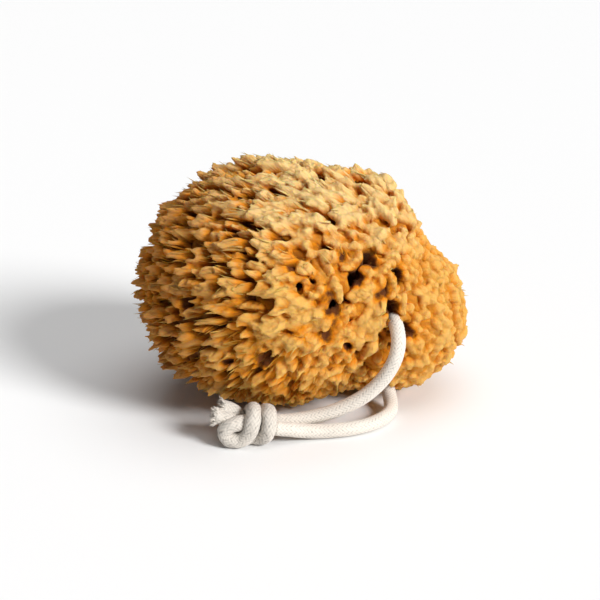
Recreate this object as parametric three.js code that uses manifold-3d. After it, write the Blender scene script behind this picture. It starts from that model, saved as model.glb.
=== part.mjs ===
// Wool bath sponge threaded on a loop of braided cotton rope, as it lies on a shelf.
// Millimetres, +Z up. The origin is on the resting surface, under the middle of the sponge.
// Three nodes: the grown body of the sponge, the loop of rope, and the knot that ties its two ends.

import * as THREE from "three";
import { mergeVertices } from "three/addons/utils/BufferGeometryUtils.js";
import Module from "manifold-3d";

const wasm = await Module();
wasm.setup();

// ---- Driving dimensions ------------------------------------------------------------------

// The body is three lobes grown together, out to the tips of its tufts.
const LOBES = [
  { name: "dome", centre: [-11, 3, 48.7], half: [57.5, 58, 50.5] },
  { name: "base where it was cut from the rock", centre: [32, 10, 33.4], half: [38.5, 42, 34] },
  { name: "shoulder", centre: [20, 6, 55], half: [33, 44, 39] },
];
const HUB = new THREE.Vector3(8, 4, 43); // lies inside every lobe
const LOBE_BLEND = 18; // a higher power makes a sharper groove between lobes
const BODY_DETAIL = 15; // cuts along each edge of the starting icosahedron

// Low swellings over the body: height, and waves per millimetre along X, Y and Z.
const SWELLINGS = [
  { height: 0.55, waves: [0.31, 0.22, 0.17], start: 0.4 },
  { height: 0.45, waves: [-0.19, 0.33, 0.26], start: 2.1 },
  { height: 0.35, waves: [0.24, -0.14, 0.41], start: 4.3 },
];

// Braided cotton rope, threaded through the sponge, with both its ends in the knot.
const ROPE_DIAMETER = 6;
const ROPE_SIDES = 10;
const ROPE_STEPS = 64;
const TUNNEL_CLEARANCE = 0.5; // between the rope and the sponge
const ROPE_ROUTE = [
  // out of the knot, rising in front of the sponge
  [-12.0, -47.3, 6.9],
  [-7.0, -46.1, 6.5],
  [-0.9, -44.3, 6.6],
  [5.8, -43.4, 7.8],
  [12.6, -43.1, 10.0],
  [19.2, -43.0, 13.2],
  [25.0, -42.9, 17.2],
  [29.6, -42.9, 21.8],
  [33.2, -42.9, 27.0],
  [35.6, -42.3, 32.2],
  [36.7, -40.2, 37.2],
  // through the sponge, between dome and base
  [36.4, -36.2, 41.2],
  [35.4, -31.0, 43.4],
  [34.3, -25.6, 43.2],
  [33.2, -20.6, 40.8],
  [32.4, -16.6, 36.8],
  [32.0, -13.8, 31.6],
  [32.0, -12.3, 26.0],
  [32.2, -12.0, 20.0],
  [32.9, -13.2, 14.0],
  [34.0, -16.4, 8.8],
  // out of the underside and back along the surface
  [35.0, -21.2, 5.2],
  [35.0, -26.8, 3.5],
  [33.4, -32.2, 3.1],
  [30.2, -37.4, 3.05],
  [25.6, -41.8, 3.05],
  [19.6, -45.2, 3.05],
  [12.8, -47.4, 3.05],
  [5.8, -48.6, 3.15],
  [-1.0, -50.3, 4.1],
  [-6.8, -52.6, 5.8],
  [-12.0, -54.2, 6.9],
];

// Knot: a round body of wraps, a neck that the two legs enter, and two short cut tails.
const KNOT_BODY = { centre: [-24.2, -52.6, 8.2], half: [9.6, 8.2, 8.2] };
const KNOT_NECK = { face: -13.3, depth: 8, width: 13.4, height: 7.4 }; // the face meets the rope's ends
const KNOT_TAILS = [
  { from: [-28, -51.5, 10], to: [-37.6, -50, 12.6] },
  { from: [-27, -54, 6], to: [-34.5, -57.5, 3.4] },
];

const SPONGE_LOOK = { color: 0xdb9c45, roughness: 0.95, metalness: 0 };
const ROPE_LOOK = { color: 0xe8dfd0, roughness: 0.9, metalness: 0 };

// ---- Closed solids and the cuts between them ---------------------------------------------

function solidOf(geometry) {
  const bare = geometry.clone();
  bare.deleteAttribute("normal");
  bare.deleteAttribute("uv");
  const merged = mergeVertices(bare, 1e-4);
  const mesh = new wasm.Mesh({
    numProp: 3,
    vertProperties: new Float32Array(merged.attributes.position.array),
    triVerts: new Uint32Array(merged.index.array),
  });
  return new wasm.Manifold(mesh);
}

function geometryOf(solid) {
  const mesh = solid.getMesh();
  const geometry = new THREE.BufferGeometry();
  geometry.setAttribute("position", new THREE.BufferAttribute(mesh.vertProperties, mesh.numProp));
  geometry.setIndex(new THREE.BufferAttribute(mesh.triVerts, 1));
  geometry.computeVertexNormals();
  return geometry;
}

// ---- Body of the sponge ------------------------------------------------------------------

// Distance from the hub to one lobe's skin along a unit direction.
function distanceToSkin(direction, lobe) {
  const half = new THREE.Vector3(...lobe.half);
  const start = HUB.clone().sub(new THREE.Vector3(...lobe.centre)).divide(half);
  const step = direction.clone().divide(half);
  const a = step.lengthSq();
  const b = step.dot(start);
  const c = start.lengthSq() - 1;
  return (Math.sqrt(b * b - a * c) - b) / a;
}

// The lobes' skins run into each other as the power mean of their distances.
function blendedDistance(direction) {
  const distances = LOBES.map((lobe) => distanceToSkin(direction, lobe));
  const longest = Math.max(...distances);
  const sum = distances.reduce((total, d) => total + (d / longest) ** LOBE_BLEND, 0);
  return longest * sum ** (1 / LOBE_BLEND);
}

function swellingAt(point) {
  const waveAt = ({ height, waves, start }) =>
    height * Math.sin(point.x * waves[0] + point.y * waves[1] + point.z * waves[2] + start);
  return SWELLINGS.reduce((total, swelling) => total + waveAt(swelling), 0);
}

function grownBody() {
  const geometry = new THREE.IcosahedronGeometry(1, BODY_DETAIL);
  const position = geometry.attributes.position;
  const direction = new THREE.Vector3();
  for (let i = 0; i < position.count; i += 1) {
    direction.fromBufferAttribute(position, i).normalize();
    const reach = blendedDistance(direction);
    const skin = HUB.clone().addScaledVector(direction, reach);
    skin.addScaledVector(direction, swellingAt(skin));
    position.setXYZ(i, skin.x, skin.y, skin.z);
  }
  return geometry;
}

// The body rests on a flat patch pressed into its underside, centred over the origin.
function restingBody() {
  const body = solidOf(grownBody());
  const size = 400;
  const ground = new THREE.BoxGeometry(size, size, size).translate(0, 0, -size / 2);
  const flattened = body.subtract(solidOf(ground));
  const { min, max } = flattened.boundingBox();
  return flattened.translate([-(min[0] + max[0]) / 2, -(min[1] + max[1]) / 2, 0]);
}

// ---- Rope --------------------------------------------------------------------------------

function roundSection(radius) {
  const points = [];
  for (let i = 0; i < ROPE_SIDES; i += 1) {
    const angle = (2 * Math.PI * i) / ROPE_SIDES;
    points.push(new THREE.Vector2(radius * Math.cos(angle), radius * Math.sin(angle)));
  }
  return new THREE.Shape(points);
}

function tubeAlongRoute(radius) {
  const route = new THREE.CatmullRomCurve3(ROPE_ROUTE.map((point) => new THREE.Vector3(...point)));
  return new THREE.ExtrudeGeometry(roundSection(radius), { steps: ROPE_STEPS, extrudePath: route });
}

// ---- Knot --------------------------------------------------------------------------------

function ball({ centre, half }) {
  const wide = 24;
  const high = 16;
  return new THREE.SphereGeometry(1, wide, high).scale(...half).translate(...centre);
}

// A round-ended length of rope between two points.
function tail({ from, to }) {
  const start = new THREE.Vector3(...from);
  const along = new THREE.Vector3(...to).sub(start);
  const turn = new THREE.Quaternion().setFromUnitVectors(
    new THREE.Vector3(0, 1, 0),
    along.clone().normalize(),
  );
  return new THREE.CylinderGeometry(ROPE_DIAMETER / 2, ROPE_DIAMETER / 2, along.length(), 12)
    .applyQuaternion(turn)
    .translate(...start.addScaledVector(along, 0.5));
}

// The neck is an upright slab with an oval section. Its flat face meets the rope's two ends.
function neck() {
  const first = new THREE.Vector3(...ROPE_ROUTE[0]);
  const last = new THREE.Vector3(...ROPE_ROUTE.at(-1));
  const middle = first.add(last).multiplyScalar(0.5);
  return new THREE.CylinderGeometry(1, 1, KNOT_NECK.depth, 20)
    .rotateZ(Math.PI / 2)
    .scale(1, KNOT_NECK.width / 2, KNOT_NECK.height / 2)
    .translate(KNOT_NECK.face - KNOT_NECK.depth / 2, middle.y, middle.z);
}

function tiedKnot() {
  const pieces = [ball(KNOT_BODY), neck(), ...KNOT_TAILS.map(tail)];
  return pieces.map(solidOf).reduce((whole, piece) => whole.add(piece));
}

// ---- Assembly ----------------------------------------------------------------------------

function named(name, geometry, look) {
  const mesh = new THREE.Mesh(geometry, new THREE.MeshStandardMaterial(look));
  mesh.name = name;
  return mesh;
}

const tunnel = solidOf(tubeAlongRoute(ROPE_DIAMETER / 2 + TUNNEL_CLEARANCE));
const model = new THREE.Group();
model.add(named("sponge", geometryOf(restingBody().subtract(tunnel)), SPONGE_LOOK));
model.add(named("rope", tubeAlongRoute(ROPE_DIAMETER / 2), ROPE_LOOK));
model.add(named("knot", geometryOf(tiedKnot()), ROPE_LOOK));

export default model;
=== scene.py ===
"""A wool bath sponge on a loop of braided cotton rope, lying on a pale floor.

Laid out as an add-on and run as a script. Lengths in the settings and in the route are metres.
"""
import math

import bmesh
import bpy
import numpy as np
from bpy.props import FloatProperty, FloatVectorProperty, IntProperty, PointerProperty
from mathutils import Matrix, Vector
from mathutils.bvhtree import BVHTree


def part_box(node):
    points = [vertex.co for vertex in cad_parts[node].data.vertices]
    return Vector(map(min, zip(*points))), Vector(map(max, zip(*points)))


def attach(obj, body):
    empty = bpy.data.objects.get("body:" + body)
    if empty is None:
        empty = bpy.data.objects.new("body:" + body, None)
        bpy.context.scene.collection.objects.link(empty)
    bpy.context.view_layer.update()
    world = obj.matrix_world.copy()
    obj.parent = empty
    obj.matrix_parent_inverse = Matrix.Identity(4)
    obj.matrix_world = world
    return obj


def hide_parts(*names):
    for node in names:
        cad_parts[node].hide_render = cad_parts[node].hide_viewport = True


bl_info = {
    "name": "Sea sponge on a rope",
    "version": (1, 0, 0),
    "blender": (4, 5, 0),
    "location": "3D Viewport > Sidebar > Sponge",
    "description": "Builds a wool sponge of brushy tufts on a braided cotton rope loop with its knot",
    "category": "Add Mesh",
}

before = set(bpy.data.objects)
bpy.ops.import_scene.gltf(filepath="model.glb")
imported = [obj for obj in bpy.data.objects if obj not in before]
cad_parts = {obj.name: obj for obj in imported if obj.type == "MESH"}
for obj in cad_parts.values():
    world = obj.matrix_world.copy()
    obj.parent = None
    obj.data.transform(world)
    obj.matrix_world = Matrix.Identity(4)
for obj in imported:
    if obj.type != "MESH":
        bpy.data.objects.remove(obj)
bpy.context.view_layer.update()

MM = 0.001
SPONGE_LOW, SPONGE_HIGH = (np.array(corner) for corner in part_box("sponge"))
SPONGE_SIZE = SPONGE_HIGH - SPONGE_LOW

# The hub lies inside every lobe of the body, and the whole skin can be seen from it.
HUB = SPONGE_LOW + SPONGE_SIZE * (0.55, 0.51, 0.43)

# The route of the rope, from the knot's face through the sponge and back to the knot's face.
ROPE_ROUTE = MM * np.array([
    # out of the knot, rising in front of the sponge
    (-12.0, -47.3, 6.9), (-7.0, -46.1, 6.5), (-0.9, -44.3, 6.6), (5.8, -43.4, 7.8),
    (12.6, -43.1, 10.0), (19.2, -43.0, 13.2), (25.0, -42.9, 17.2), (29.6, -42.9, 21.8),
    (33.2, -42.9, 27.0), (35.6, -42.3, 32.2), (36.7, -40.2, 37.2),
    # through the sponge, between dome and base
    (36.4, -36.2, 41.2), (35.4, -31.0, 43.4), (34.3, -25.6, 43.2), (33.2, -20.6, 40.8),
    (32.4, -16.6, 36.8), (32.0, -13.8, 31.6), (32.0, -12.3, 26.0), (32.2, -12.0, 20.0),
    (32.9, -13.2, 14.0), (34.0, -16.4, 8.8),
    # out of the underside and back along the surface
    (35.0, -21.2, 5.2), (35.0, -26.8, 3.5), (33.4, -32.2, 3.1), (30.2, -37.4, 3.05),
    (25.6, -41.8, 3.05), (19.6, -45.2, 3.05), (12.8, -47.4, 3.05), (5.8, -48.6, 3.15),
    (-1.0, -50.3, 4.1), (-6.8, -52.6, 5.8), (-12.0, -54.2, 6.9),
])

# The two ends of the rope in the knot, each from its leg, on the right, to its cut tail, on the left.
KNOT_ROUTES = MM * np.array([
    [
        # in past the rope's end and out of the left side
        (-10.6, -47.4, 6.9), (-15.0, -49.0, 7.4), (-20.0, -52.0, 8.4), (-25.0, -55.0, 9.6),
        # round the left side and back along the underside
        (-29.4, -56.8, 9.2), (-31.8, -56.8, 6.1), (-30.0, -57.0, 3.4), (-26.0, -57.2, 3.2),
        # up the front, over the top and down the back
        (-22.6, -57.8, 5.4), (-20.9, -58.2, 9.2), (-20.3, -55.8, 12.8), (-20.5, -51.5, 13.7),
        (-21.5, -47.2, 11.4), (-23.5, -46.0, 7.5), (-26.0, -48.0, 5.5),
        # through the middle to the cut end
        (-28.5, -51.0, 8.0), (-32.0, -53.0, 11.0), (-36.2, -54.0, 12.0),
    ],
    [
        (-10.6, -54.1, 6.9), (-15.0, -53.8, 7.0), (-20.0, -52.5, 6.6), (-25.0, -50.5, 5.6),
        (-29.2, -49.8, 4.8), (-31.2, -52.6, 3.9), (-28.5, -54.8, 3.2), (-23.0, -53.6, 3.2),
        (-17.6, -54.8, 3.4), (-15.0, -57.2, 5.8), (-14.2, -57.6, 9.4), (-14.4, -54.6, 12.5),
        (-15.2, -50.0, 12.7), (-16.9, -46.4, 10.2), (-20.0, -46.6, 6.8),
        (-25.0, -48.0, 8.5), (-29.0, -48.8, 12.0), (-33.6, -49.6, 14.0),
    ],
])
# The great pores on the front: how far right, how high, and their radius. Most lie in or near the groove
# between dome and base.
GREAT_PORES = MM * np.array([
    (-8, 70, 3.2), (9, 61, 2.9), (11, 54, 3.4), (-4, 48, 2.7), (7, 44, 3.0), (1, 43, 2.2),
    (22, 65, 2.9), (26, 72, 3.0), (31, 59, 3.6), (38, 63, 3.1), (35, 51, 3.5), (44, 38, 2.2),
    (14, 76, 1.8), (17, 38, 2.1), (-30, 81, 2.2), (-49, 55, 2.4), (-18, 35, 2.4), (-33, 34, 2.2),
])
KNOT_TAIL_FRAY = 4 * MM  # the length of each cut end that has swollen and come undone
SIDES_PER_YARN = 5  # points round the rope for each yarn that winds one way

# How near things come to the middle of the rope: the places of tufts on the skin, the tufts before and after
# they are fused, and the core and loose fibres.
ROPE_ROOM = 5.0 * MM
UNFUSED_GAP = 3.9 * MM
FUSED_GAP = 3.25 * MM
CORE_GAP = 3.3 * MM
# How near things come to the floor, before and after they are finished.
FLOOR_GAP = 0.05 * MM
FINISHED_FLOOR_GAP = 0.02 * MM

CRUMB_POINTS = 60  # a free part with fewer points than this is a crumb, not a tuft
COLOUR_DEPTH = 12 * MM  # the depth, and the way back from a tip, at which the materials' values reach 1
FLUTE_SIZE = MM * np.array([1.15, 1.15, 7.0])  # one flute, twice across a tuft and once along it
LUMP_SIZE = 2.6 * MM
FRAYS = 6  # thin fingers round each tuft
LONGEST_BRIDGE = 5.2 * MM
PORE_RIM = 1.7 * MM  # from the edge of a pore to the middles of the tufts round it
CUT_THREADS = 110  # loose threads at each cut end
RING_SPACING = 0.38 * MM  # along the rope
KNOT_RING_SPACING = 0.36 * MM
PLACES_TRIED = 12000  # for the tufts, over the whole skin
CHUNK = 4000  # points that are compared with all tufts, or with the whole rope, at a time

CAMERA_AIM = Vector((-2.2 * MM, -3.0 * MM, 42 * MM))
FLOOR_REACH = 6.0  # metres from the middle to each edge


# ---- Settings ----------------------------------------------------------------------------

class SpongeSettings(bpy.types.PropertyGroup):
    """Sizes and colours of the sponge's body."""

    tuft_spacing: FloatProperty(
        name="Tuft spacing", description="Distance between neighbouring tufts",
        default=4.45 * MM, min=3 * MM, unit="LENGTH", precision=4)
    pore_spacing: FloatProperty(
        name="Pore spacing", description="Distance between neighbouring deep pores",
        default=10.5 * MM, min=5 * MM, unit="LENGTH", precision=4)
    core_depth: FloatProperty(
        name="Core depth", description="How far the solid core lies under the tips of the longest tufts",
        default=9.0 * MM, min=4 * MM, unit="LENGTH", precision=4)
    voxel: FloatProperty(
        name="Grain", description="Size of the smallest detail that fuses neighbouring tufts",
        default=0.68 * MM, min=0.4 * MM, unit="LENGTH", precision=5)
    kept: FloatProperty(
        name="Triangles kept", description="Share of the fused tufts' triangles that is kept",
        default=0.54, min=0.05, max=1)
    seed: IntProperty(name="Seed", description="Start of the random draws", default=7)
    tip_colour: FloatVectorProperty(
        name="Tip colour", description="Dry fibre at the tips of the tufts",
        subtype="COLOR", default=(0.76, 0.44, 0.115), min=0, max=1)
    # Painted shade: the darker, browner tip colour of the left end, which lies away from the key light.
    shaded_end_tip_colour: FloatVectorProperty(
        name="Shaded end tip colour", description="Tips of the tufts at the brushy end",
        subtype="COLOR", default=(0.50, 0.235, 0.060), min=0, max=1)
    # Painted light: the paler tip colour of the top, where the overhead light falls.
    lit_top_tip_colour: FloatVectorProperty(
        name="Lit top tip colour", description="Tips of the tufts on the top",
        subtype="COLOR", default=(0.80, 0.55, 0.225), min=0, max=1)
    flesh_colour: FloatVectorProperty(
        name="Flesh colour", description="Flanks of the tufts, between tip and core",
        subtype="COLOR", default=(0.72, 0.235, 0.005), min=0, max=1)
    # Painted shade: the dark colour that deep creases and pores are blended to.
    pore_shade_colour: FloatVectorProperty(
        name="Pore shade colour", description="Floor and walls of the deep pores",
        subtype="COLOR", default=(0.12, 0.032, 0.006), min=0, max=1)


class RopeSettings(bpy.types.PropertyGroup):
    """Sizes and colour of the braided rope."""

    diameter: FloatProperty(
        name="Diameter", description="Outside diameter of the rope",
        default=6 * MM, min=2 * MM, unit="LENGTH", precision=4)
    carriers: IntProperty(
        name="Yarns each way", description="Yarns that wind each way round the rope",
        default=12, min=4)
    relief: FloatProperty(
        name="Yarn relief", description="Height of a yarn over the gaps beside it",
        default=0.46 * MM, min=0, unit="LENGTH", precision=5)
    colour: FloatVectorProperty(
        name="Colour", description="Undyed cotton", subtype="COLOR",
        default=(0.75, 0.69, 0.61), min=0, max=1)


class StageSettings(bpy.types.PropertyGroup):
    """Floor, lights and camera."""

    elevation: FloatProperty(
        name="Camera height", description="Angle of the view above the floor",
        default=math.radians(20), subtype="ANGLE")
    distance: FloatProperty(
        name="Camera distance", description="From the camera to the point it aims at",
        default=0.69, min=0.1, unit="LENGTH")
    frame_width: FloatProperty(
        name="Frame width", description="What the picture takes in across, at that distance",
        default=0.249, min=0.05, unit="LENGTH")
    floor_colour: FloatVectorProperty(
        name="Floor colour", description="Plain pale floor", subtype="COLOR",
        default=(0.88, 0.88, 0.88), min=0, max=1)
    key_strength: FloatProperty(
        name="Key strength", description="Main soft light, from the right and in front",
        default=3.6, min=0)
    top_strength: FloatProperty(
        name="Top strength", description="Softer light from overhead", default=1.4, min=0)
    sky: FloatProperty(
        name="Sky", description="Strength of the even white light all round", default=0.12, min=0)


# ---- Small helpers -----------------------------------------------------------------------

def unit(vectors):
    """Each vector divided by its own length."""
    return vectors / np.maximum(np.linalg.norm(vectors, axis=-1, keepdims=True), 1e-12)


def turned_sides(directions, turns):
    """The two side vectors of each direction, turned about it by its turn."""
    first, second = side_vectors(directions)
    wide = first * np.cos(turns)[:, None] + second * np.sin(turns)[:, None]
    return wide, second * np.cos(turns)[:, None] - first * np.sin(turns)[:, None]


def even_directions(count):
    """Unit vectors spread evenly over the sphere: equal steps in height, turned by the golden angle."""
    index = np.arange(count) + 0.5
    height = 1 - 2 * index / count
    turn = index * math.pi * (3 - math.sqrt(5))
    ring = np.sqrt(1 - height ** 2)
    return np.stack([ring * np.cos(turn), ring * np.sin(turn), height], axis=1)


def side_vectors(directions):
    """Two unit vectors square to each direction and to each other."""
    spare = np.where(np.abs(directions[:, 2:]) < 0.9, [[0.0, 0.0, 1.0]], [[1.0, 0.0, 0.0]])
    first = unit(np.cross(directions, spare))
    return first, np.cross(directions, first)


class Ripples:
    """Smooth random values in space: random numbers on a repeating lattice, blended between its points."""

    CELLS = 32

    def __init__(self, seed):
        self.values = np.random.default_rng(seed).uniform(-1, 1, (self.CELLS,) * 3)

    def at(self, points):
        """Value from -1 to 1, with one swing per unit of length, by cubic-eased blending of 8 corners."""
        cell = np.floor(points).astype(int)
        along = points - cell
        along = along * along * (3 - 2 * along)
        total = 0
        for corner in np.ndindex(2, 2, 2):
            share = np.prod(np.where(corner, along, 1 - along), axis=-1)
            index = (cell + corner) % self.CELLS
            total = total + share * self.values[index[..., 0], index[..., 1], index[..., 2]]
        return total

    def three(self, points, swing, shifts):
        """Three values at each point, one for each axis, each read from places a shift apart."""
        return np.stack([self.at(points / swing + shift) for shift in shifts], axis=1)


class Skin:
    """The sponge's outer skin as a distance from the hub for each direction, read off the frame's node."""

    ROWS, COLUMNS = 90, 180

    def __init__(self, node):
        tree = BVHTree.FromObject(node, bpy.context.evaluated_depsgraph_get())
        reach = float(np.linalg.norm(SPONGE_SIZE))
        polar = np.linspace(0, math.pi, self.ROWS)[:, None]
        turn = np.linspace(0, 2 * math.pi, self.COLUMNS, endpoint=False)[None, :]
        directions = self.direction(polar, turn).reshape(-1, 3)
        hub = Vector(HUB)
        hits = [tree.ray_cast(hub + Vector(d) * reach, Vector(-d))[0] for d in directions]
        found = np.array([(hit - hub).length for hit in hits]).reshape(self.ROWS, self.COLUMNS)
        self.distances = self.without_holes(found)

    @staticmethod
    def direction(polar, turn):
        """The unit vector at an angle from straight up and a turn about it."""
        return np.stack(np.broadcast_arrays(
            np.sin(polar) * np.cos(turn), np.sin(polar) * np.sin(turn), np.cos(polar)), axis=-1)

    @staticmethod
    def without_holes(found):
        """Where the rope's tunnel opens, the skin is carried across it from its neighbours."""
        window = [np.roll(np.pad(found, ((3, 3), (0, 0)), mode="edge"), (i, j), (0, 1))[3:-3]
                  for i in range(-3, 4) for j in range(-3, 4)]
        highest = np.max(window, axis=0)
        typical = np.mean(window, axis=0)
        hole = highest - found > 6 * MM
        return np.where(hole, 0.5 * (highest + typical), found)

    def reach(self, directions):
        """Distance from the hub to the skin along unit directions, blended on the grid of rays."""
        row = np.arccos(np.clip(directions[..., 2], -1, 1)) / math.pi * (self.ROWS - 1)
        column = np.arctan2(directions[..., 1], directions[..., 0]) / (2 * math.pi) * self.COLUMNS
        above = np.clip(np.floor(row).astype(int), 0, self.ROWS - 2)
        before = np.floor(column).astype(int)
        down, across = row - above, column - before
        before, after = before % self.COLUMNS, (before + 1) % self.COLUMNS
        upper, lower = (self.distances[line, before] * (1 - across) + self.distances[line, after] * across
                        for line in (above, above + 1))
        return upper * (1 - down) + lower * down

    def point(self, directions):
        """The place on the skin in each direction from the hub."""
        return HUB + directions * self.reach(directions)[..., None]

    def normal(self, directions):
        """Outward normal of the skin, from two short steps along it."""
        first, second = side_vectors(directions)
        step = 0.05
        ahead = self.point(unit(directions + step * first)) - self.point(unit(directions - step * first))
        aside = self.point(unit(directions + step * second)) - self.point(unit(directions - step * second))
        normals = unit(np.cross(ahead, aside))
        facing = np.sum(normals * directions, axis=1, keepdims=True)
        return normals * np.sign(facing)

    def depth(self, points):
        """How far points lie under the skin, along the line to the hub."""
        away = points - HUB
        length = np.linalg.norm(away, axis=-1)
        return self.reach(away / length[..., None]) - length


def new_object(name, points, faces):
    """An object at the origin with its place in its mesh. Its faces are arrays, each of one kind of face."""
    mesh = bpy.data.meshes.new(name)
    mesh.from_pydata(points, [], [face for some in faces for face in some.tolist()])
    shade_smooth(mesh)
    mesh.update()
    piece = bpy.data.objects.new(name, mesh)
    bpy.context.scene.collection.objects.link(piece)
    return piece


def shade_smooth(mesh):
    """Shades the mesh as one smooth surface."""
    mesh.polygons.foreach_set("use_smooth", [True] * len(mesh.polygons))


def mesh_points(piece):
    """The piece's points, as rows of three numbers."""
    points = np.empty(len(piece.data.vertices) * 3, np.float32)
    piece.data.vertices.foreach_get("co", points)
    return points.reshape(-1, 3).astype(float)


def set_points(piece, points):
    """Moves the piece's points to new places."""
    piece.data.vertices.foreach_set("co", np.asarray(points, np.float32).ravel())
    piece.data.update()


def mesh_normals(piece):
    """The outward direction at each of the piece's points."""
    normals = np.empty(len(piece.data.vertices) * 3, np.float32)
    piece.data.vertex_normals.foreach_get("vector", normals)
    return normals.reshape(-1, 3).astype(float)


def set_values(piece, name, values):
    """A named number on each vertex, for the material to read."""
    attribute = piece.data.attributes.new(name, "FLOAT", "POINT")
    attribute.data.foreach_set("value", np.asarray(values, np.float32))


def tube_faces(rings, sides, tubes=1):
    """Quads between the rings of each tube, and a fan at both ends to its two end points.

    Each tube's points are its rings, then its first end point, then its last one.
    """
    ring = np.arange(rings - 1)[:, None] * sides
    side = np.arange(sides)[None, :]
    ahead = (side + 1) % sides
    quads = np.stack([ring + side, ring + ahead, ring + sides + ahead, ring + sides + side], axis=-1)
    first, last = rings * sides, rings * sides + 1
    side, ahead = side[0], ahead[0]
    top = (rings - 1) * sides
    fans = np.concatenate([
        np.stack([np.full(sides, first), ahead, side], axis=1),
        np.stack([np.full(sides, last), top + side, top + ahead], axis=1),
    ])
    shift = np.arange(tubes)[:, None, None] * (rings * sides + 2)
    return [(quads.reshape(-1, 4)[None] + shift).reshape(-1, 4), (fans[None] + shift).reshape(-1, 3)]


def above_floor(points, gap):
    """The same points, with those below the gap raised to it."""
    points[:, 2] = np.maximum(points[:, 2], gap)
    return points


def share_between(values, low, high):
    """0 below low, 1 above high, and an eased rise between them."""
    t = np.clip((values - low) / (high - low), 0, 1)
    return t * t * (3 - 2 * t)


def fingers(roots, leans, lengths, radii, bends, flatness, turns, blunt, rings=8, sides=8):
    """Closed tapering fingers, each a profile carried along a path that bends away from its lean.

    At share t of its length a finger's axis is at root + lean * length * t + bend * t squared, and its radius
    is the full one times (1 - t ** p) ** q. A blunt finger has a high p and low q, a pointed one the reverse.
    """
    count = len(roots)
    t = np.linspace(0, 1, rings + 1)[None, :-1]
    blunt = np.broadcast_to(np.asarray(blunt, float), (count,))[:, None]
    power, root = 1.5 + 2.5 * blunt, 0.95 - 0.5 * blunt
    reach = radii[:, None] * (1 - t ** power) ** root
    axis = (roots[:, None] + leans[:, None] * (lengths[:, None] * t)[..., None]
            + bends[:, None] * (t ** 2)[..., None])
    wide, narrow = turned_sides(leans, turns)
    angle = np.linspace(0, 2 * math.pi, sides, endpoint=False)
    section = (wide[:, None, None] * np.cos(angle)[None, None, :, None]
               + (narrow * flatness[:, None])[:, None, None] * np.sin(angle)[None, None, :, None])
    points = axis[:, :, None] + section * reach[:, :, None, None]
    tips = roots + leans * lengths[:, None] + bends
    points = np.concatenate([points.reshape(count, -1, 3), roots[:, None], tips[:, None]], axis=1)
    return points.reshape(-1, 3), tube_faces(rings, sides, count)


def joined(groups):
    """Several sets of points and faces as one."""
    starts = np.cumsum([0] + [len(points) for points, _ in groups])
    faces = [some + start for (_, faces), start in zip(groups, starts) for some in faces]
    return np.concatenate([points for points, _ in groups]), faces


def finished(piece, body, node):
    """Tells the frame what the piece rides on, and hides the node that it stands for."""
    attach(piece, body)
    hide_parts(node)


# ---- Materials ---------------------------------------------------------------------------

class Nodes:
    """Short forms for building a material's node tree."""

    def __init__(self, name):
        self.material = bpy.data.materials.new(name)
        self.material.use_nodes = True
        self.tree = self.material.node_tree
        self.shader = self.tree.nodes["Principled BSDF"]

    def add(self, kind, **settings):
        node = self.tree.nodes.new(kind)
        for key, value in settings.items():
            setattr(node, key, value)
        return node

    def link(self, source, target):
        self.tree.links.new(source, target)

    def math(self, operation, first, second=0.0, third=0.0):
        """A sum on numbers and sockets."""
        node = self.add("ShaderNodeMath", operation=operation)
        for socket, value in zip(node.inputs, (first, second, third)):
            if isinstance(value, (int, float)):
                socket.default_value = value
            else:
                self.link(value, socket)
        return node.outputs[0]

    def attribute(self, name, output="Fac"):
        """The value that each of the piece's points has under that name."""
        return self.add("ShaderNodeAttribute", attribute_name=name).outputs[output]

    def swayed(self, value, noise, amount):
        """The value plus the amount times what the noise is over its middle, 0.5."""
        return self.math("MULTIPLY_ADD", self.math("SUBTRACT", noise, 0.5), amount, value)

    def set_shader(self, **values):
        """Sets the shader's own sockets. An underscore in a name stands for a space."""
        for name, value in values.items():
            self.shader.inputs[name.replace("_", " ")].default_value = value

    def noise(self, coordinates, scale, detail=3.0, roughness=0.55):
        """Smooth noise from 0 to 1, that many swings to a unit of the coordinates."""
        node = self.add("ShaderNodeTexNoise")
        node.inputs["Scale"].default_value = scale
        node.inputs["Detail"].default_value = detail
        node.inputs["Roughness"].default_value = roughness
        self.link(coordinates, node.inputs["Vector"])
        return node.outputs["Fac"]

    def ramp(self, value, stops):
        """The colour at the value, blended between the stops on either side."""
        node = self.add("ShaderNodeValToRGB")
        elements = node.color_ramp.elements
        while len(elements) < len(stops):
            elements.new(0.5)
        for element, (place, colour) in zip(elements, stops):
            element.position = place
            element.color = (*colour, 1.0)
        self.link(value, node.inputs["Fac"])
        return node.outputs["Color"]

    def mix(self, share, first, second):
        """A blend of two colours. The node has its colour sockets at 6 and 7, and its colour result at 2."""
        node = self.add("ShaderNodeMix", data_type="RGBA")
        for socket, value in ((0, share), (6, first), (7, second)):
            self.link(value, node.inputs[socket])
        return node.outputs[2]

    def bump(self, height, distance, strength, normal=None):
        """Normals as of a surface raised by the height times the distance."""
        node = self.add("ShaderNodeBump")
        node.inputs["Strength"].default_value = strength
        node.inputs["Distance"].default_value = distance
        self.link(height, node.inputs["Height"])
        if normal is not None:
            self.link(normal, node.inputs["Normal"])
        return node.outputs["Normal"]


def shade(colour, factor):
    """The colour made darker, or lighter with a factor over 1."""
    return tuple(channel * factor for channel in colour)


def blend(first, second, share):
    """A colour that share of the way from the first to the second."""
    return tuple(a * (1 - share) + b * share for a, b in zip(first, second))


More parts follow.
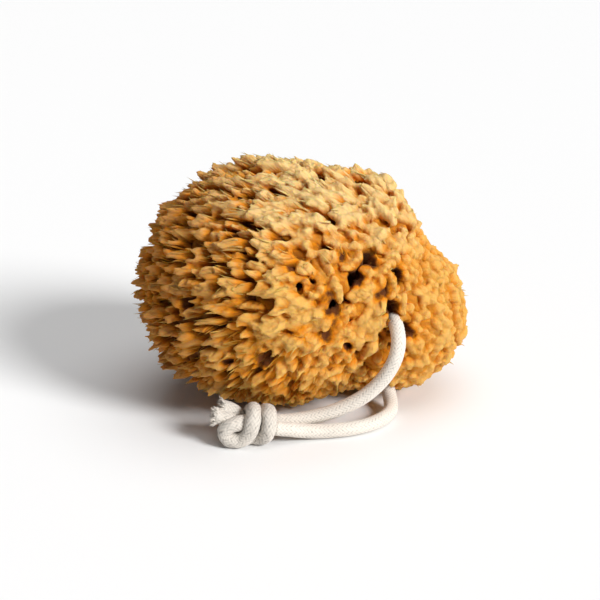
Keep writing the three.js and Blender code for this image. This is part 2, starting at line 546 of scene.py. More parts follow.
def sponge_material(settings):
    """Colour by depth: pale tips and orange flanks, darkened with depth into dark brown pores as painted
    shade, with fibres along the tufts.
    """
    n = Nodes("sponge flesh")
    tip, shaded_end_tip, lit_top_tip, flesh, pore = (tuple(c) for c in (
        settings.tip_colour, settings.shaded_end_tip_colour, settings.lit_top_tip_colour, settings.flesh_colour,
        settings.pore_shade_colour))
    place = n.add("ShaderNodeTexCoord").outputs["Object"]
    fibre = n.attribute("fibre", "Vector")
    patches = n.noise(place, 85, 3)
    streaks = n.noise(fibre, 1.2, 3, 0.6)
    # The ramp goes from the pale tips to the orange flanks, then paints shade: deeper still, in creases and
    # pores, it darkens to the pore colour.
    inner = n.math("MULTIPLY", n.attribute("depth"), 0.62)
    inner = n.math("MULTIPLY_ADD", n.attribute("back_from_tip"), 0.45, inner)
    inner = n.swayed(n.swayed(inner, patches, 0.20), streaks, 0.30)
    # Painted shade and painted light: where the "brushy" value rises, on the left end away from the key
    # light, the tips are browner and the flanks darker. Where the "high" value rises, on the top under the
    # overhead light, the tips are paler.
    plain, brown, pale = [n.ramp(inner, [
        (0.00, first),
        (0.11, blend(first, flesh, 0.25)),
        (0.23, blend(first, flesh, 0.75)),
        (0.37, middle),
        (0.54, blend(middle, pore, 0.60)),
        (0.70, pore),
    ]) for first, middle in ((tip, flesh), (shaded_end_tip, shade(flesh, 0.55)), (lit_top_tip, flesh))]
    colour = n.mix(n.attribute("brushy"), n.mix(n.attribute("high"), plain, pale), brown)
    n.link(colour, n.shader.inputs["Base Color"])
    # Fibres run along each tuft, so their pattern is fine across it and long along it.
    grain = n.noise(place, 1500, 2, 0.6)
    coarse = n.bump(n.noise(fibre, 1.8, 3, 0.65), 0.9 * MM, 0.9)
    n.link(n.bump(grain, 0.35 * MM, 0.7, coarse), n.shader.inputs["Normal"])
    n.set_shader(Roughness=0.85, Specular_IOR_Level=0.08, Subsurface_Weight=0.35,
                 Subsurface_Radius=(1.0, 0.35, 0.05), Subsurface_Scale=3.0 * MM, Sheen_Weight=0.06,
                 Sheen_Roughness=0.5, Sheen_Tint=(1.0, 0.86, 0.6, 1.0))
    return n.material


def rope_material(settings):
    """Undyed cotton, with painted shade in the gaps between the yarns, a painted highlight on their tops, and
    fine lint.
    """
    n = Nodes("cotton braid")
    colour = tuple(settings.colour)
    place = n.add("ShaderNodeTexCoord").outputs["Object"]
    lint = n.noise(place, 900, 3)
    dust = n.noise(place, 130, 2)
    lifted = n.swayed(n.swayed(n.attribute("yarn"), lint, 0.35), dust, 0.3)
    # Painted shade and painted highlight: the low gaps between yarns are darker and the yarn tops paler than
    # the cotton.
    yarn_shade_and_highlight = n.ramp(lifted, [
        (0.0, shade(colour, 0.36)),
        (0.40, shade(colour, 0.76)),
        (0.75, colour),
        (1.0, tuple(min(1.0, c * 1.06) for c in colour)),
    ])
    n.link(yarn_shade_and_highlight, n.shader.inputs["Base Color"])
    n.link(n.bump(n.noise(place, 2600, 3), 0.15 * MM, 0.6), n.shader.inputs["Normal"])
    n.set_shader(Roughness=0.88, Specular_IOR_Level=0.2, Sheen_Weight=0.3, Sheen_Roughness=0.6)
    return n.material


# ---- Rope --------------------------------------------------------------------------------

def smooth_path(points, spacing):
    """A centripetal curve through the points, resampled to even steps of about the spacing."""
    points = np.asarray(points, float)
    ends = np.stack([2 * points[0] - points[1], 2 * points[-1] - points[-2]])
    padded = np.concatenate([ends[:1], points, ends[1:]])
    gaps = np.sqrt(np.linalg.norm(np.diff(padded, axis=0), axis=1))
    share = np.linspace(0, 1, 24, endpoint=False)[None, :, None]
    p0, p1, p2, p3 = (padded[i:len(padded) - 3 + i][:, None] for i in range(4))
    d0, d1, d2 = (gaps[i:len(gaps) - 2 + i][:, None, None] for i in range(3))
    slope1 = ((p1 - p0) / d0 - (p2 - p0) / (d0 + d1) + (p2 - p1) / d1) * d1
    slope2 = ((p2 - p1) / d1 - (p3 - p1) / (d1 + d2) + (p3 - p2) / d2) * d1
    curve = (p1 + slope1 * share + (3 * (p2 - p1) - 2 * slope1 - slope2) * share ** 2
             + (2 * (p1 - p2) + slope1 + slope2) * share ** 3)
    curve = np.concatenate([curve.reshape(-1, 3), points[-1:]])
    return even_steps(curve, spacing)


def even_steps(curve, spacing):
    """The same line with its points an equal distance apart."""
    travelled = np.concatenate([[0], np.cumsum(np.linalg.norm(np.diff(curve, axis=0), axis=1))])
    places = np.linspace(0, travelled[-1], int(round(travelled[-1] / spacing)) + 1)
    return np.stack([np.interp(places, travelled, curve[:, axis]) for axis in range(3)], axis=1)


def path_length(path):
    """The sum of the path's steps."""
    return float(np.linalg.norm(np.diff(path, axis=0), axis=1).sum())


def carried_sides(path):
    """Along, across and up vectors at each point, carried from point to point without twist."""
    along = unit(np.gradient(path, axis=0))
    across = [side_vectors(along[:1])[0][0]]
    for direction in along[1:]:
        flat = across[-1] - direction * (across[-1] @ direction)
        across.append(flat / np.linalg.norm(flat))
    across = np.array(across)
    return along, across, np.cross(along, across)


def braid_height(turns, travel, carriers, width):
    """Height of the braid from 0 in a gap to 1 on a yarn, at a place round and along the rope.

    Two families of yarns wind in opposite ways. Each passes over two of the others and under two. A yarn is
    round across its width, and dips where it goes under.
    """
    one = carriers * turns + travel / width
    other = carriers * turns - travel / width
    over = (np.floor(one) + np.floor(other)) % 4 < 2
    round_one = 1 - (2 * (one % 1) - 1) ** 2
    round_other = 1 - (2 * (other % 1) - 1) ** 2
    # A float spans two cells, so its dip comes once in two of the other family's widths.
    return np.where(over, np.sqrt(round_one) * (0.72 + 0.28 * round_other),
                    np.sqrt(round_other) * (0.72 + 0.28 * round_one))


def braided_tube(path, settings, swelling=1.0):
    """Points, faces and braid heights of a tube along the path.

    Its radius is the rope's, times the swelling at that place, less the relief where the braid is low.
    """
    sides = SIDES_PER_YARN * settings.carriers
    radius = settings.diameter / 2
    width = 2 * math.pi * radius / settings.carriers
    _, across, up = carried_sides(path)
    travel = np.linspace(0, path_length(path), len(path))[:, None]
    turns = np.linspace(0, 1, sides, endpoint=False)[None, :]
    height = braid_height(turns, travel, settings.carriers, width)
    reach = radius * swelling - settings.relief * (1 - height)
    angle = 2 * math.pi * turns
    rings = (path[:, None] + reach[..., None] * (
        np.cos(angle)[..., None] * across[:, None] + np.sin(angle)[..., None] * up[:, None]))
    points = np.concatenate([rings.reshape(-1, 3), path[:1], path[-1:]])
    return points, tube_faces(len(path), sides), np.concatenate([height.ravel(), [0.5, 0.5]])


class SPONGE_OT_knot(bpy.types.Operator):
    """Tie the knot: both ends of the rope wound round each other, with frayed cut tails"""

    bl_idname = "sponge.knot"
    bl_label = "Tie the knot"

    def execute(self, context):
        settings = context.scene.rope_settings
        ripples = Ripples(settings.carriers)
        rng = np.random.default_rng(settings.carriers)
        shapes, heights = [], []
        for route in KNOT_ROUTES:
            path = smooth_path(route, KNOT_RING_SPACING)
            left = path_length(path) - np.linspace(0, path_length(path), len(path))[:, None]
            fray = 1 - share_between(left, 0, KNOT_TAIL_FRAY)
            swelling = 1.02 + 0.22 * fray * share_between(left, 0, 1.2 * MM)
            points, faces, height = braided_tube(path, settings, swelling)
            undone = np.append(np.repeat(fray, SIDES_PER_YARN * settings.carriers), [0, 1])
            rough = ripples.three(points, 0.9 * MM, (1.1, 4.4, 8.8))
            worn = ripples.three(points, 3.0 * MM, (2.1, 6.4, 9.8))
            points = points + rough * (0.10 + 0.50 * undone[:, None]) * MM + worn * 0.35 * MM
            points = above_floor(points, FINISHED_FLOOR_GAP)
            threads = self.loose_threads(path, settings, rng)
            shapes += [(points, faces), threads]
            # Painted shade: the knot's yarn values are scaled down, so the ramp shades the whole knot darker
            # than the loop.
            heights += [height * (0.66 - 0.30 * undone) + 0.24 * undone, np.full(len(threads[0]), 0.60)]
        points, faces = joined(shapes)
        knot = new_object("tied_knot", points, faces)
        set_values(knot, "yarn", np.concatenate(heights))
        knot.data.materials.append(rope_material(settings))
        finished(knot, "root", "knot")
        return {"FINISHED"}

    @staticmethod
    def loose_threads(path, settings, rng):
        """Cut threads that spread from the end of a tail: short fingers that lean out as they leave it."""
        count = CUT_THREADS
        _, across, up = carried_sides(path)
        along = unit(path[-1:] - path[-4:-3])
        turn = rng.uniform(0, 2 * math.pi, (count, 1))
        out = np.cos(turn) * across[-1:] + np.sin(turn) * up[-1:]
        radial = np.sqrt(rng.random((count, 1)))
        roots = path[-1] - along * 1.2 * MM + out * radial * 1.02 * settings.diameter / 2
        leans = unit(along + out * radial * rng.uniform(0.2, 0.9, (count, 1)))
        lengths = rng.uniform(1.3, 2.8, count) * MM
        bends = rng.normal(0, 0.5 * MM, (count, 3))
        return fingers(roots, leans, lengths, np.full(count, 0.30 * MM), bends, np.full(count, 0.8),
                       turn[:, 0], 0.6, rings=4, sides=4)


class SPONGE_OT_rope(bpy.types.Operator):
    """Make the braided rope along its route through the sponge"""

    bl_idname = "sponge.rope"
    bl_label = "Make the rope"

    def execute(self, context):
        settings = context.scene.rope_settings
        path = smooth_path(ROPE_ROUTE, RING_SPACING)
        points, faces, height = braided_tube(path, settings)
        rope = new_object("rope_loop", points, faces)
        set_values(rope, "yarn", height)
        rope.data.materials.append(rope_material(settings))
        finished(rope, "root", "rope")
        return {"FINISHED"}


# ---- Sponge ------------------------------------------------------------------------------

class Tufts:
    """Where every tuft stands, how long and thick it is and which way it is combed."""

    def __init__(self, skin, settings, path):
        rng = np.random.default_rng(settings.seed)
        self.directions = self.spread_evenly(skin, rng, settings.tuft_spacing)
        # A few are missing, but none at the brushy end.
        brushy = self.characters(skin.point(self.directions))[1]
        missing = rng.random(len(self.directions)) > 0.93 + 0.07 * brushy
        self.directions = self.directions[~missing]
        self.open_pores(skin, rng, settings.pore_spacing)
        self.move_off_pores(skin)
        to_rope = np.linalg.norm(skin.point(self.directions)[:, None] - path[None, ::3], axis=2).min(axis=1)
        self.directions = self.directions[to_rope > ROPE_ROOM]
        self.count = len(self.directions)
        self.comb(skin.point(self.directions), skin.normal(self.directions), rng)

    def open_pores(self, skin, rng, spacing):
        """The directions and widths of the pores: small ones all round, and the great ones.

        The small ones stand in even directions, each moved at random by about a third of their spacing. They
        are narrower in the trimmed base, and narrower still at the brushy end.
        """
        area = 4 * math.pi * float(np.mean(skin.distances)) ** 2
        even = even_directions(int(area / (0.87 * spacing ** 2)))
        small = unit(even + rng.normal(0, 0.055, even.shape))
        width = rng.uniform(0.5, 1.9, len(small)) * MM
        trimmed, brushy, _ = self.characters(skin.point(small))
        width *= (1 - 0.40 * trimmed) * (1 - 0.75 * brushy)
        self.pores = np.concatenate([small, self.front_directions(skin, GREAT_PORES[:, :2])])
        self.pore_width = np.concatenate([width, GREAT_PORES[:, 2]])

    def comb(self, places, normals, rng):
        """How each tuft that ends near its place on the skin leans, and how long, thick, flat and bent it is.

        All lean away from the base, and those below the middle droop. Each tip is sunk under the skin by a
        random depth, or stands a little out of it where it is brushy.
        """
        count = self.count
        self.trimmed, self.brushy, self.under = self.characters(places)
        free = (1 - self.trimmed) * (1 - self.under)
        droop = share_between(-places[:, 2], -66 * MM, -28 * MM)
        away = np.stack([-(0.58 + 1.00 * self.brushy), np.zeros(count), -0.38 * droop], axis=1)
        wander = rng.normal(0, 0.17, (count, 3)) * (0.35 + 0.65 * free[:, None])
        self.lean = unit(normals + away * free[:, None] + wander)
        shaggy = self.brushy * (1 - self.under)
        sunk = rng.beta(1.3, 2.6, count) * (0.8 + 2.6 * free + 3.2 * shaggy) * MM - 2.9 * MM * shaggy
        self.tips = places - normals * sunk[:, None]
        self.length = (6.5 * MM + rng.uniform(0.0, 3.0, count) * MM
                       + 9.0 * MM * self.brushy * (1 - self.under))
        self.radius = (2.60 - 0.35 * self.brushy + 0.15 * self.trimmed + rng.uniform(-0.5, 0.7, count)) * MM
        self.flatness = rng.uniform(0.55, 0.95, count)
        self.turn = rng.uniform(0, 2 * math.pi, count)
        self.bend = rng.normal(0, 1.3 * MM, (count, 3)) * free[:, None]
        # Those low on the front, left of the middle, hang.
        right, back, height = places.T
        hanging = share_between(-back, 30 * MM, 42 * MM) * share_between(-height, -46 * MM, -36 * MM)
        hanging *= share_between(-np.abs(right + 12 * MM), -24 * MM, -12 * MM)
        self.bend += np.array([-1.0, -0.6, -3.0]) * MM * hanging[:, None]

    @staticmethod
    def spread_evenly(skin, rng, spacing):
        """Directions of places that are tried in random order, and kept if no kept one is within the gap.

        The gap is 0.78 of the spacing, at which as many are kept as in rows that far apart.
        """
        tried = even_directions(PLACES_TRIED)
        tried = tried[rng.permutation(len(tried))]
        places = skin.point(tried)
        kept = np.zeros((len(tried), 3))
        order = []
        gap = 0.78 * spacing
        for index, place in enumerate(places):
            if np.sum((kept[:len(order)] - place) ** 2, axis=1).min(initial=1) > gap ** 2:
                kept[len(order)] = place
                order.append(index)
        return tried[order]

    @staticmethod
    def characters(places):
        """How trimmed, how brushy and how far under the body each place on the skin is, from 0 to 1.

        The base lobe, on the lower right, is trimmed short and blunt. The far end is long and brushy.
        """
        right, height = places[:, 0], places[:, 2]
        trimmed = share_between(right, 26 * MM, 46 * MM) * share_between(-height, -78 * MM, -60 * MM)
        brushy = share_between(-right, -10 * MM, 30 * MM)
        brushy = np.maximum(brushy, 0.6 * share_between(height, 80 * MM, 97 * MM))
        return trimmed, brushy, share_between(-height, -16 * MM, -4 * MM)

    @staticmethod
    def front_directions(skin, places):
        """Directions from the hub to the places on the skin's front that lie so far right and so high."""
        directions = even_directions(20000)
        directions = directions[directions[:, 1] < -0.1]
        found = skin.point(directions)[:, [0, 2]]
        apart = np.linalg.norm(found[None] - places[:, None], axis=2)
        return directions[apart.argmin(axis=1)]

    def move_off_pores(self, skin):
        """Tufts that would stand in a pore are moved to its rim."""
        scale = skin.reach(self.directions)[:, None]
        apart = np.linalg.norm(self.directions[:, None] - self.pores[None], axis=2) * scale
        nearest = apart.argmin(axis=1)
        distance = apart[np.arange(len(nearest)), nearest]
        rim = self.pore_width[nearest] + PORE_RIM
        away = unit(self.directions - self.pores[nearest])
        shift = np.clip(rim - distance, 0, None) / scale[:, 0]
        self.directions = unit(self.directions + away * shift[:, None])


def clear_of_rope(points, path, gap):
    """Points nearer the rope's centre line than the gap are moved straight out to it."""
    points = points.copy()
    low, high = path.min(axis=0) - gap, path.max(axis=0) + gap
    near = np.where(np.all((points > low) & (points < high), axis=1))[0]
    for chunk in np.array_split(near, max(1, len(near) // CHUNK)):
        if len(chunk) == 0:
            continue
        away = points[chunk][:, None] - path[None]
        apart = np.linalg.norm(away, axis=2)
        closest = apart.argmin(axis=1)
        row = np.arange(len(chunk))
        distance = apart[row, closest]
        moved = path[closest] + away[row, closest] * (gap / np.maximum(distance, 1e-6))[:, None]
        points[chunk] = np.where((distance < gap)[:, None], moved, points[chunk])
    return points


def apply_modifiers(piece):
    """The piece's mesh as its modifiers leave it, in place of the mesh and the modifiers."""
    bpy.context.view_layer.update()
    evaluated = piece.evaluated_get(bpy.context.evaluated_depsgraph_get())
    mesh = bpy.data.meshes.new_from_object(evaluated)
    piece.modifiers.clear()
    piece.data = mesh


def fuse(piece, voxel):
    """Grows the piece's overlapping parts together into one closed skin, and evens it out."""
    remesh = piece.modifiers.new("fuse", "REMESH")
    remesh.mode = "VOXEL"
    remesh.voxel_size = voxel
    remesh.use_smooth_shade = True
    smooth = piece.modifiers.new("even", "SMOOTH")
    smooth.factor = 0.5
    smooth.iterations = 2
    apply_modifiers(piece)
    drop_crumbs(piece)


def thin(piece, kept):
    """Keeps the given share of the piece's triangles, dropping them where it is flattest."""
    if kept < 1:
        decimate = piece.modifiers.new("thin", "DECIMATE")
        decimate.ratio = kept
        apply_modifiers(piece)
        shade_smooth(piece.data)


def drop_crumbs(piece):
    """Takes away parts that hang free and are too small to be a tuft.

    Every point starts with its own number. Each edge gives both its points the lower number of the two, and
    each point then takes the number of the point that its number names, until nothing changes.
    """
    mesh = piece.data
    count = len(mesh.vertices)
    edges = np.empty(len(mesh.edges) * 2, np.int32)
    mesh.edges.foreach_get("vertices", edges)
    edges = edges.reshape(-1, 2)
    label = np.arange(count)
    while True:
        low = label[edges].min(axis=1)
        lowered = label.copy()
        np.minimum.at(lowered, edges[:, 0], low)
        np.minimum.at(lowered, edges[:, 1], low)
        lowered = lowered[lowered]
        if np.array_equal(lowered, label):
            break
        label = lowered
    crumb = np.bincount(label, minlength=count)[label] < CRUMB_POINTS
    if crumb.any():
        work = bmesh.new()
        work.from_mesh(mesh)
        work.verts.ensure_lookup_table()
        bmesh.ops.delete(work, geom=[work.verts[int(i)] for i in np.flatnonzero(crumb)], context="VERTS")
        work.to_mesh(mesh)
        work.free()


REGIONS = {
    "tufts_base": lambda p: (p[:, 0] > 30 * MM) & (p[:, 2] < 66 * MM),
    "tufts_far_end_upper": lambda p: (p[:, 0] < -32 * MM) & (p[:, 2] > 50 * MM),
    "tufts_far_end_lower": lambda p: p[:, 0] < -32 * MM,
    "tufts_top": lambda p: p[:, 2] > 72 * MM,
    "tufts_front": lambda p: p[:, 1] < 0,
    "tufts_back": lambda p: p[:, 1] >= 0,
}


def region_of(tips, ripples):
    """The index of the first region that holds each tip. The borders wander by some millimetres."""
    wander = ripples.three(tips, 9 * MM, (3.3, 7.7, 11.1))
    tests = np.stack([test(tips + wander * 5 * MM) for test in REGIONS.values()])
    return tests.argmax(axis=0)


def tuft_places(points, tufts, chosen):
    """Each point's place on its nearest tuft: two distances across it and one along it, and the tuft's index.

    For point p, and a tuft with tip t and lean u, the nearness is |p - t|^2 less most of ((p - t) . u)^2,
    worked out for all pairs at once. |p|^2 is left out, as it is the same for all tufts.
    """
    tips, leans = tufts.tips[chosen] - HUB, tufts.lean[chosen]
    first, second = side_vectors(leans)
    centred = points - HUB
    ends, ways = (1000 * tips).astype(np.float32), leans.astype(np.float32)
    squares, starts = np.sum(ends * ends, axis=1), np.sum(ends * ways, axis=1)
    nearest = np.empty(len(points), int)
    for chunk in np.array_split(np.arange(len(points)), max(1, len(points) // CHUNK)):
        p = (1000 * centred[chunk]).astype(np.float32)
        along = p @ ways.T
        along -= starts
        along *= along
        along *= -0.93
        along += squares
        along -= 2 * (p @ ends.T)
        nearest[chunk] = along.argmin(axis=1)
    offset = centred - tips[nearest]
    place = np.stack([np.sum(offset * side[nearest], axis=1) for side in (first, second, leans)], axis=1)
    return place, nearest


def tuft_shift(index):
    """A shift for each tuft's own pattern, so that no two are alike: nine times the sine of its index."""
    return np.sin(index[:, None] * np.array([12.9, 78.2, 37.7])) * 9


def great_pore_shade(points, depth, pores):
    """How far inside a great pore each point is, for the painted shade there: 1 on its line to the hub, and 0
    past its rim.

    It is exp(-(distance from the line / 1.3 radii) ** 4), and a fifth of that near the skin.
    """
    away = points - HUB
    length = np.linalg.norm(away, axis=1)[:, None]
    apart = np.linalg.norm(away[:, None] / length[..., None] - pores[None], axis=2) * length
    share = np.exp(-(apart / (1.3 * GREAT_PORES[None, :, 2])) ** 4).max(axis=1)
    return share * (0.2 + 0.8 * share_between(depth, 0.5 * MM, 3 * MM))


def mark_fibres(piece, skin, tufts, chosen):
    """Gives each point the values that the material reads.

    They are its depth under the skin, which counts for more in the great pores to paint shade in them, its
    way back from the tip, how brushy and how high its place is, which paint shade on the left end and light
    on the top, and its place among the fibres.
    """
    points = mesh_points(piece)
    place, nearest = tuft_places(points, tufts, chosen)
    depth = skin.depth(points)
    pores = tufts.pores[-len(GREAT_PORES):]
    # Painted shade: the extra depth in the great pores darkens them.
    set_values(piece, "depth", depth / COLOUR_DEPTH + 0.8 * great_pore_shade(points, depth, pores))
    set_values(piece, "back_from_tip", np.clip(-place[:, 2] / COLOUR_DEPTH, 0, 1))
    # Painted shade: this value rises towards the left end and mixes in the darker tips and flanks there.
    set_values(piece, "brushy", share_between(-points[:, 0], 5 * MM, 60 * MM))
    # Painted light: this value rises towards the top and mixes in the paler tips there.
    set_values(piece, "high", share_between(points[:, 2], 62 * MM, 92 * MM))
    fibre = piece.data.attributes.new("fibre", "FLOAT_VECTOR", "POINT")
    grain = place / (np.array([1, 1, 8]) * MM) + tuft_shift(nearest)
    fibre.data.foreach_set("vector", grain.astype(np.float32).ravel())


class Body:
    """The sponge's body: what its pieces share, and how each is made."""

    def __init__(self, settings):
        self.settings = settings
        self.skin = Skin(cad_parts["sponge"])
        self.path = smooth_path(ROPE_ROUTE, 1.0 * MM)
        self.tufts = Tufts(self.skin, settings, self.path)
        self.material = sponge_material(settings)
        self.ripples = Ripples(settings.seed)
        self.everywhere = np.ones(self.tufts.count, bool)

    def finish_piece(self, piece, chosen, gap, kept=1.0):
        """Flutes the tufts along their length, keeps them off the rope and floor, and gives them a finish."""
        points = mesh_points(piece)
        place, nearest = tuft_places(points, self.tufts, chosen)
        flutes = self.ripples.at(place / FLUTE_SIZE + tuft_shift(nearest))
        lumps = self.ripples.at(points / LUMP_SIZE)
        points = points + mesh_normals(piece) * ((0.26 * flutes + 0.28 * lumps) * MM)[:, None]
        set_points(piece, above_floor(clear_of_rope(points, self.path, gap), FINISHED_FLOOR_GAP))
        thin(piece, kept)
        self.colour_piece(piece, chosen)

    def colour_piece(self, piece, chosen):
        """Gives the piece the values that the material reads and the material, and tells the frame what it
        rides on.
        """
        mark_fibres(piece, self.skin, self.tufts, chosen)
        piece.data.materials.append(self.material)
        finished(piece, "root", "sponge")

    def make_core(self):
        """The core is the skin less its depth, with a round pit in it under each pore.

        A pit is 9 mm * exp(-(distance from the pore / 1.5 pore widths) ** 4) deep.
        """
        rows, columns = 110, 220
        polar = (np.arange(rows) + 0.5)[:, None] / rows * math.pi
        turn = np.linspace(0, 2 * math.pi, columns, endpoint=False)[None, :]
        directions = Skin.direction(polar, turn).reshape(-1, 3)
        directions = np.concatenate([directions, [[0, 0, 1.0], [0, 0, -1.0]]])
        reach = self.skin.reach(directions)
        trimmed, brushy, _ = Tufts.characters(HUB + directions * reach[:, None])
        # The core lies at under half of its full depth where the tufts are short.
        depth = self.settings.core_depth * (0.44 + 0.26 * brushy - 0.10 * trimmed)
        depth += (1.1 * self.ripples.at(directions * 9) + 0.9 * self.ripples.at(directions * 21 + 5)) * MM
        for pore, width in zip(self.tufts.pores, self.tufts.pore_width):
            apart = np.linalg.norm(directions - pore, axis=1) * reach
            depth = depth + 9 * MM * np.exp(-(apart / (1.5 * width)) ** 4)
        points = HUB + directions * (reach - depth)[:, None]
        core = new_object("sponge_core", points, tube_faces(rows, columns))
        core.data.flip_normals()
        self.finish_piece(core, self.everywhere, CORE_GAP)

    def make_tufts(self):
        """Each region's tufts, moved to and fro in space by the ripples, and fused into one piece."""
        region = region_of(self.tufts.tips, self.ripples)
        for index, name in enumerate(REGIONS):
            chosen = region == index
            if not chosen.any():
                continue
            points, faces = tuft_shapes(self.tufts, chosen)
            warp = self.ripples.three(points, 4.5 * MM, (2.2, 5.8, 9.1))
            points = clear_of_rope(points + 0.9 * MM * warp, self.path, UNFUSED_GAP)
            piece = new_object(name, above_floor(points, FLOOR_GAP), faces)
            fuse(piece, self.settings.voxel * (1.0))
            self.finish_piece(piece, chosen, FUSED_GAP, self.settings.kept)

    def make_loose_fibres(self):
        """Thin fibres along the flanks of the tufts, a few past their tips, and most where it is brushy."""
        tufts = self.tufts
        rng = np.random.default_rng(self.settings.seed + 1)
        wanted = (1 - tufts.under) * (1.1 + 1.9 * tufts.brushy) * (1 - 0.5 * tufts.trimmed)
        tuft = np.repeat(np.arange(tufts.count), np.floor(wanted + rng.random(tufts.count)).astype(int))
        count = len(tuft)
        tips, leans, lengths = tufts.tips[tuft], tufts.lean[tuft], tufts.length[tuft]
        radii, bends = tufts.radius[tuft], tufts.bend[tuft]
        first, second = side_vectors(leans)
        turn = rng.uniform(0, 2 * math.pi, (count, 1))
        out = first * np.cos(turn) + second * np.sin(turn)
        start = rng.uniform(0.25, 0.6, (count, 1))
        roots = tips - bends - leans * lengths[:, None] * (1 - start) + bends * start ** 2
        roots += out * radii[:, None] * rng.uniform(0.75, 0.98, (count, 1))
        way = unit(leans - out * (0.55 * radii / lengths)[:, None] + rng.normal(0, 0.07, (count, 3)))
        reach = lengths * (1 - start[:, 0]) + rng.uniform(-2.4, 0.4, count) * MM
        wave = bends * 0.8 + rng.normal(0, 0.9 * MM, (count, 3))
        thickness = rng.uniform(0.35, 0.60, count) * MM
        points, faces = fingers(roots, way, reach, thickness, wave, np.full(count, 0.8), turn[:, 0], 0.25,
                                rings=5, sides=3)
        points = above_floor(clear_of_rope(points, self.path, CORE_GAP), FLOOR_GAP)
        self.colour_piece(new_object("loose_fibres", points, faces), self.everywhere)


def tuft_shapes(tufts, chosen):
    """One stout finger for each tuft, thin ones that fray its end, and bridges to its neighbours."""
    rng = np.random.default_rng(int(chosen.sum()))
    tips, leans, lengths = tufts.tips[chosen], tufts.lean[chosen], tufts.length[chosen]
    radii, bends, turns = tufts.radius[chosen], tufts.bend[chosen], tufts.turn[chosen]
    flatness, brushy = tufts.flatness[chosen], tufts.brushy[chosen]
    roots = tips - leans * lengths[:, None] - bends
    blunt = np.clip(0.95 - 0.25 * brushy + 0.2 * tufts.trimmed[chosen], 0, 1)
    stout = fingers(roots, leans, lengths * 0.95, radii, bends, flatness, turns, blunt, rings=10)

    # The frays stand round the finger and close in towards its tip.
    many = (len(tips), FRAYS)
    wide, narrow = turned_sides(leans, turns)
    angle = np.arange(FRAYS)[None] * 2 * math.pi / FRAYS + rng.uniform(-0.5, 0.5, many)
    outward = (wide[:, None] * np.cos(angle)[..., None]
               + (narrow * flatness[:, None])[:, None] * np.sin(angle)[..., None])
    start = rng.uniform(0.30, 0.60, many)
    along = (roots[:, None] + leans[:, None] * (lengths[:, None] * start)[..., None]
             + bends[:, None] * (start ** 2)[..., None])
    origin = along + outward * (radii * 0.72)[:, None, None]
    shortest, longest = 0.45 + 0.3 * brushy[:, None], 0.88 + 0.24 * brushy[:, None]
    reach = lengths[:, None] * (1 - start) * rng.uniform(shortest, longest, many)
    closing = -0.9 * (radii / lengths)[:, None, None] * rng.uniform(0.3, 1.1, (*many, 1))
    way = unit(leans[:, None] + outward * closing + (bends / lengths[:, None])[:, None])
    thickness = radii[:, None] * rng.uniform(0.30, 0.50, many)
    sharp = np.repeat(0.95 - 0.45 * brushy, FRAYS)
    wave = rng.normal(0, 0.5 * MM, way.shape)
    lines = (value.reshape(-1, *value.shape[2:]) for value in (origin, way, reach, thickness, wave))
    frayed = fingers(*lines, np.full(thickness.size, 0.8), angle.ravel(), sharp, rings=7, sides=6)

    # Bridges run from the middle of a tuft to the middle of the nearest one, few where it is brushy.
    middle = roots + leans * (lengths * 0.62)[:, None]
    apart = np.linalg.norm(middle[:, None] - middle[None], axis=2)
    np.fill_diagonal(apart, 1)
    here = np.arange(len(tips))
    there = apart.argmin(axis=1)
    joins = (rng.random(len(here)) > 0.35 + 0.55 * brushy) & (apart[here, there] < LONGEST_BRIDGE)
    here, there = here[joins], there[joins]
    span = middle[there] - middle[here]
    gap = np.linalg.norm(span, axis=1)
    sag = rng.normal(0, 0.4 * MM, span.shape)
    bridges = fingers(middle[here], unit(span), gap, np.full(len(gap), 1.25 * MM), sag,
                      np.full(len(gap), 0.9), np.zeros(len(gap)), 1.0, rings=6)
    return joined([stout, frayed, bridges])


class SPONGE_OT_body(bpy.types.Operator):
    """Make the sponge: its core with pits, and the tufts grown together over it"""

    bl_idname = "sponge.body"
    bl_label = "Make the sponge"

    def execute(self, context):
        body = Body(context.scene.sponge_settings)
        body.make_core()
        body.make_tufts()
        body.make_loose_fibres()
        return {"FINISHED"}


# ---- Stage -------------------------------------------------------------------------------

def soft_light(name, source, strength, spread):
    """A broad white light, far off in the direction of the source."""
    data = bpy.data.lights.new(name, "SUN")
    data.energy = strength
    data.angle = spread
    light = bpy.data.objects.new(name, data)
    light.rotation_euler = Vector(source).to_track_quat("Z", "Y").to_euler()
    bpy.context.scene.collection.objects.link(light)


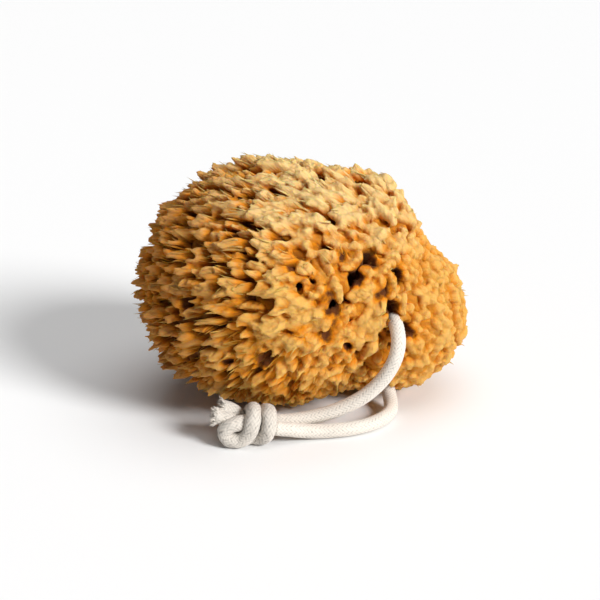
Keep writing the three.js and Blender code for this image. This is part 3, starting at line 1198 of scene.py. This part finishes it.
class SPONGE_OT_stage(bpy.types.Operator):
    """Make the camera, the floor and the soft studio light"""

    bl_idname = "sponge.stage"
    bl_label = "Make the stage"

    def execute(self, context):
        settings = context.scene.stage_settings
        self.make_camera(settings)
        self.make_floor(settings)
        self.make_light(settings)
        return {"FINISHED"}

    @staticmethod
    def make_camera(settings):
        """A camera in front, aimed at the middle of the body and raised by its elevation."""
        data = bpy.data.cameras.new("camera")
        data.lens = data.sensor_width * settings.distance / settings.frame_width
        camera = bpy.data.objects.new("camera", data)
        back = Vector((0, -math.cos(settings.elevation), math.sin(settings.elevation)))
        camera.location = CAMERA_AIM + back * settings.distance
        camera.rotation_euler = (-back).to_track_quat("-Z", "Y").to_euler()
        bpy.context.scene.collection.objects.link(camera)
        bpy.context.scene.camera = camera

    @staticmethod
    def make_floor(settings):
        """One square, far wider than the picture."""
        corners = np.array([(-1, -1, 0), (1, -1, 0), (1, 1, 0), (-1, 1, 0)]) * FLOOR_REACH
        floor = new_object("floor", corners, [np.arange(4)[None]])
        n = Nodes("pale floor")
        n.set_shader(Base_Color=(*settings.floor_colour, 1), Roughness=0.8, Specular_IOR_Level=0.1)
        floor.data.materials.append(n.material)

    @staticmethod
    def make_light(settings):
        """A main light from the right and in front, a softer one from overhead, and an even white sky."""
        soft_light("key", (0.72, -0.60, 0.55), settings.key_strength, math.radians(20))
        soft_light("top", (0.15, 0.10, 1.0), settings.top_strength, math.radians(60))
        world = bpy.data.worlds.new("studio")
        world.use_nodes = True
        background = world.node_tree.nodes["Background"]
        background.inputs["Color"].default_value = (1, 1, 1, 1)
        background.inputs["Strength"].default_value = settings.sky
        bpy.context.scene.world = world
        bpy.context.scene.view_settings.view_transform = "Standard"


# ---- Panel and run -----------------------------------------------------------------------

class SPONGE_PT_panel(bpy.types.Panel):
    """Settings and steps of the sponge, in the 3D view's sidebar"""

    bl_idname = "SPONGE_PT_panel"
    bl_label = "Sea sponge"
    bl_space_type = "VIEW_3D"
    bl_region_type = "UI"
    bl_category = "Sponge"

    def draw(self, context):
        for group, steps in STEPS.items():
            box = self.layout.box()
            settings = getattr(context.scene, group)
            for name in settings.__annotations__:
                box.prop(settings, name)
            for step in steps:
                box.operator(step.bl_idname)


SETTINGS = {"stage_settings": StageSettings, "rope_settings": RopeSettings, "sponge_settings": SpongeSettings}
STEPS = {
    "stage_settings": [SPONGE_OT_stage],
    "rope_settings": [SPONGE_OT_knot, SPONGE_OT_rope],
    "sponge_settings": [SPONGE_OT_body],
}


def all_classes():
    """Every class to register, settings first."""
    return [*SETTINGS.values(), *(step for steps in STEPS.values() for step in steps), SPONGE_PT_panel]


def register():
    """Adds the classes, and the settings to each scene."""
    for cls in all_classes():
        bpy.utils.register_class(cls)
    for name, group in SETTINGS.items():
        setattr(bpy.types.Scene, name, PointerProperty(type=group))


def unregister():
    """Takes them away again."""
    for name in SETTINGS:
        delattr(bpy.types.Scene, name)
    for cls in reversed(all_classes()):
        bpy.utils.unregister_class(cls)


def main():
    """Makes the stage and every piece."""
    register()
    bpy.ops.sponge.stage()
    bpy.ops.sponge.knot()
    bpy.ops.sponge.rope()
    bpy.ops.sponge.body()


if __name__ == "__main__":
    main()
